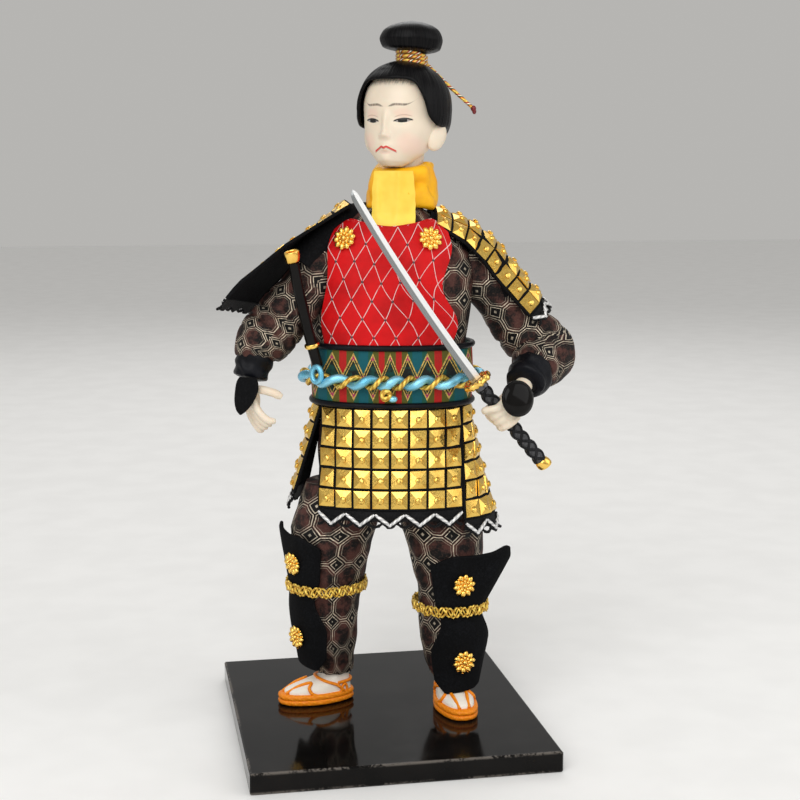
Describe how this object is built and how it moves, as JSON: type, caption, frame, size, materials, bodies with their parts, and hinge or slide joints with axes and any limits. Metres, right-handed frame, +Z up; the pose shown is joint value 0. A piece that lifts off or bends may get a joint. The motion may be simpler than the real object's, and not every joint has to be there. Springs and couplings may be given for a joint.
{
  "type": "samurai doll",
  "caption": "Samurai doll in studded armour with a red chest panel, sword in hand and scabbard, standing on a black lacquered base.",
  "frame": {"origin": "centre of the base's underside, on the surface it stands on", "axes": "+Z up, -Y towards the front of the base, +X towards the doll's left"},
  "size_m": [0.1528, 0.137, 0.3003],
  "materials": {
    "base_lacquer": "black lacquer, high gloss",
    "sandalled_foot": "white sock with an orange sandal",
    "steel_wire": "drawn",
    "dark_brocade": "dark brocade with silver lines",
    "black_felt": "matt felt",
    "gold_braid": "metallic braid",
    "gilded_metal": "gilded, bright",
    "black_lace": "lace with a silver zigzag",
    "red_satin": "satin",
    "belt_brocade": "woven brocade in several colours",
    "blue_cord": "satin cord",
    "gold_cord": "metallic cord",
    "ivory_plastic": "smooth, painted face",
    "black_silk": "silk strands",
    "coloured_cord": "twisted cord in gold, red and green",
    "orange_satin": "satin",
    "yellow_satin": "satin",
    "black_gloss": "gloss",
    "black_grip": "diamond wrap",
    "bright_steel": "bright silver coating",
    "dark_steel": "dark silver coating"
  },
  "bodies": {
    "root": {"base_plate": "base_lacquer", "right_foot": "sandalled_foot", "left_foot": "sandalled_foot", "right_foot_wire": "steel_wire", "left_foot_wire": "steel_wire", "right_trouser_leg": "dark_brocade", "left_trouser_leg": "dark_brocade", "torso": "dark_brocade", "right_sleeve": "dark_brocade", "left_sleeve": "dark_brocade", "right_shin_guard": "black_felt", "left_shin_guard": "black_felt", "right_cuff": "black_felt", "left_cuff": "black_felt", "right_hand_guard": "black_felt", "right_shin_braid": "gold_braid", "left_shin_braid": "gold_braid", "right_shin_rosette_upper": "gilded_metal", "right_shin_rosette_lower": "gilded_metal", "left_shin_rosette_upper": "gilded_metal", "left_shin_rosette_lower": "gilded_metal", "right_chest_rosette": "gilded_metal", "left_chest_rosette": "gilded_metal", "front_skirt_panel": "gilded_metal", "left_skirt_panel": "gilded_metal", "back_skirt_panel": "gilded_metal", "right_skirt_panel": "gilded_metal", "right_shoulder_guard": "gilded_metal", "left_shoulder_guard": "gilded_metal", "sword_end_cap": "gilded_metal", "sword_guard": "gilded_metal", "scabbard_mouth": "gilded_metal", "scabbard_band": "gilded_metal", "front_skirt_lace": "black_lace", "left_skirt_lace": "black_lace", "back_skirt_lace": "black_lace", "right_skirt_lace": "black_lace", "right_shoulder_lace": "black_lace", "left_shoulder_lace": "black_lace", "chest_panel": "red_satin", "belt": "belt_brocade", "rope_blue_strand": "blue_cord", "rope_gold_strand": "gold_cord", "head": "ivory_plastic", "right_hand": "ivory_plastic", "left_hand": "ivory_plastic", "hair_cap": "black_silk", "topknot": "black_silk", "topknot_tie": "coloured_cord", "topknot_cord_tail": "coloured_cord", "scarf_wrap": "orange_satin", "scarf_front": "yellow_satin", "left_hand_guard": "black_gloss", "scabbard": "black_gloss", "sword_grip": "black_grip", "sword_blade": "bright_steel", "sword_collar": "dark_steel"}
  },
  "joints": []
}
